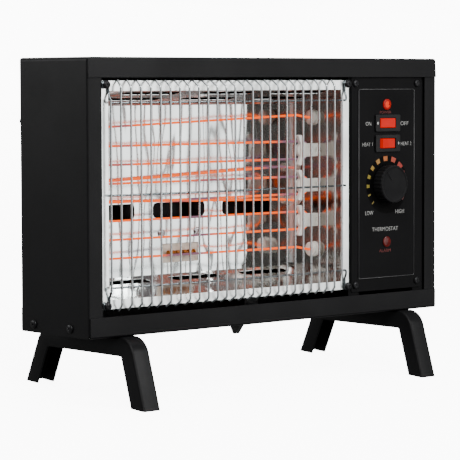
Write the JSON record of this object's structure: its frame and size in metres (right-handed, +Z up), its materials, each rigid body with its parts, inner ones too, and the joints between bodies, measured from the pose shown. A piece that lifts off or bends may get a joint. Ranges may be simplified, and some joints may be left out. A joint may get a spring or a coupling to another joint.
{
  "type": "portable radiant space heater",
  "caption": "Portable radiant heater: folded metal cabinet on splayed channel feet, strung heating wire in a mirror chamber behind a bowed wire guard, with a control column at one side.",
  "frame": {"origin": "on the floor, under the middle of the whole heater as it stands on its feet", "axes": "+Z up, +X to the right seen from the front, +Y to the back; the guard faces -Y and the cabinet leans back by 3.75 degrees about X"},
  "size_m": [0.4616, 0.1858, 0.3238],
  "materials": {
    "case_paint": "fine textured black powder coat",
    "control_paint": "satin black powder coat",
    "mirror_sheet": "bright polished reflector sheet",
    "guard_chrome": "bright nickel-chrome plated wire",
    "steatite": "unglazed white steatite",
    "heating_wire": "resistance wire at orange heat",
    "rocker_red": "moulded translucent red",
    "switch_black": "moulded black nylon",
    "knob_black": "satin moulded black",
    "zinc_steel": "zinc plated",
    "screw_black": "black oxide",
    "mica": "pressed mica sheet",
    "copper": "drawn copper",
    "lens_lit": "clear red lens, lit",
    "lens_dark": "clear red lens, unlit",
    "moulded_black": "moulded black"
  },
  "bodies": {
    "cabinet": {"case_wrap": "case_paint", "base_pan": "case_paint", "foot_left": "case_paint", "foot_right": "case_paint", "back_panel": "case_paint", "control_box": "control_paint", "control_plate": "control_paint", "reflector_trough": "mirror_sheet", "reflector_end_left": "mirror_sheet", "reflector_end_right": "mirror_sheet", "wire_guard": "guard_chrome", "insulator_left_1": "steatite", "insulator_left_2": "steatite", "insulator_left_3": "steatite", "insulator_left_4": "steatite", "insulator_right_1": "steatite", "insulator_right_2": "steatite", "insulator_right_3": "steatite", "insulator_booster": "steatite", "bushing_top": "steatite", "bushing_bottom": "steatite", "booster_bushing_top": "steatite", "booster_bushing_bottom": "steatite", "main_element": "heating_wire", "booster_element": "heating_wire", "power_switch_body": "switch_black", "heat_switch_body": "switch_black", "thermostat_body": "zinc_steel", "cutout_screw_1": "zinc_steel", "cutout_screw_2": "zinc_steel", "side_screw_left_1": "screw_black", "side_screw_left_2": "screw_black", "side_screw_right_1": "screw_black", "side_screw_right_2": "screw_black", "foot_screw_left_1": "screw_black", "foot_screw_left_2": "screw_black", "foot_screw_right_1": "screw_black", "foot_screw_right_2": "screw_black", "guard_screw_1": "screw_black", "guard_screw_2": "screw_black", "guard_screw_3": "screw_black", "guard_screw_4": "screw_black", "control_screw_1": "screw_black", "control_screw_2": "screw_black", "control_screw_3": "screw_black", "control_screw_4": "screw_black", "back_screw_left": "screw_black", "back_screw_right": "screw_black", "mica_plate": "mica", "thermal_cutout": "copper", "power_lamp": "lens_lit", "alarm_lamp": "lens_dark", "tip_switch_housing": "moulded_black", "cord_inlet": "moulded_black"},
    "thermostat_dial": {"thermostat_knob": "knob_black", "thermostat_shaft": "zinc_steel"},
    "power_rocker_body": {"power_rocker": "rocker_red"},
    "heat_rocker_body": {"heat_rocker": "rocker_red"},
    "tip_weight": {"tip_pendulum": "moulded_black"}
  },
  "joints": [
    {"name": "thermostat_turn", "type": "hinge", "parent": "cabinet", "child": "thermostat_dial", "pos_m": [0.1565, -0.05139, 0.19618], "axis": [0, 0.9979, -0.0654], "range_deg": [-90, 180]},
    {"name": "power_rock", "type": "hinge", "parent": "cabinet", "child": "power_rocker_body", "pos_m": [0.157, -0.03713, 0.25777], "axis": [0, 0.0654, 0.9979], "range_deg": [0, 12]},
    {"name": "heat_rock", "type": "hinge", "parent": "cabinet", "child": "heat_rocker_body", "pos_m": [0.157, -0.03849, 0.23702], "axis": [0, 0.0654, 0.9979], "range_deg": [-12, 0]},
    {"name": "tip_swing", "type": "hinge", "parent": "cabinet", "child": "tip_weight", "pos_m": [0, 0.00239, 0.06879], "axis": [1, 0, 0], "range_deg": [-12, 12]}
  ]
}
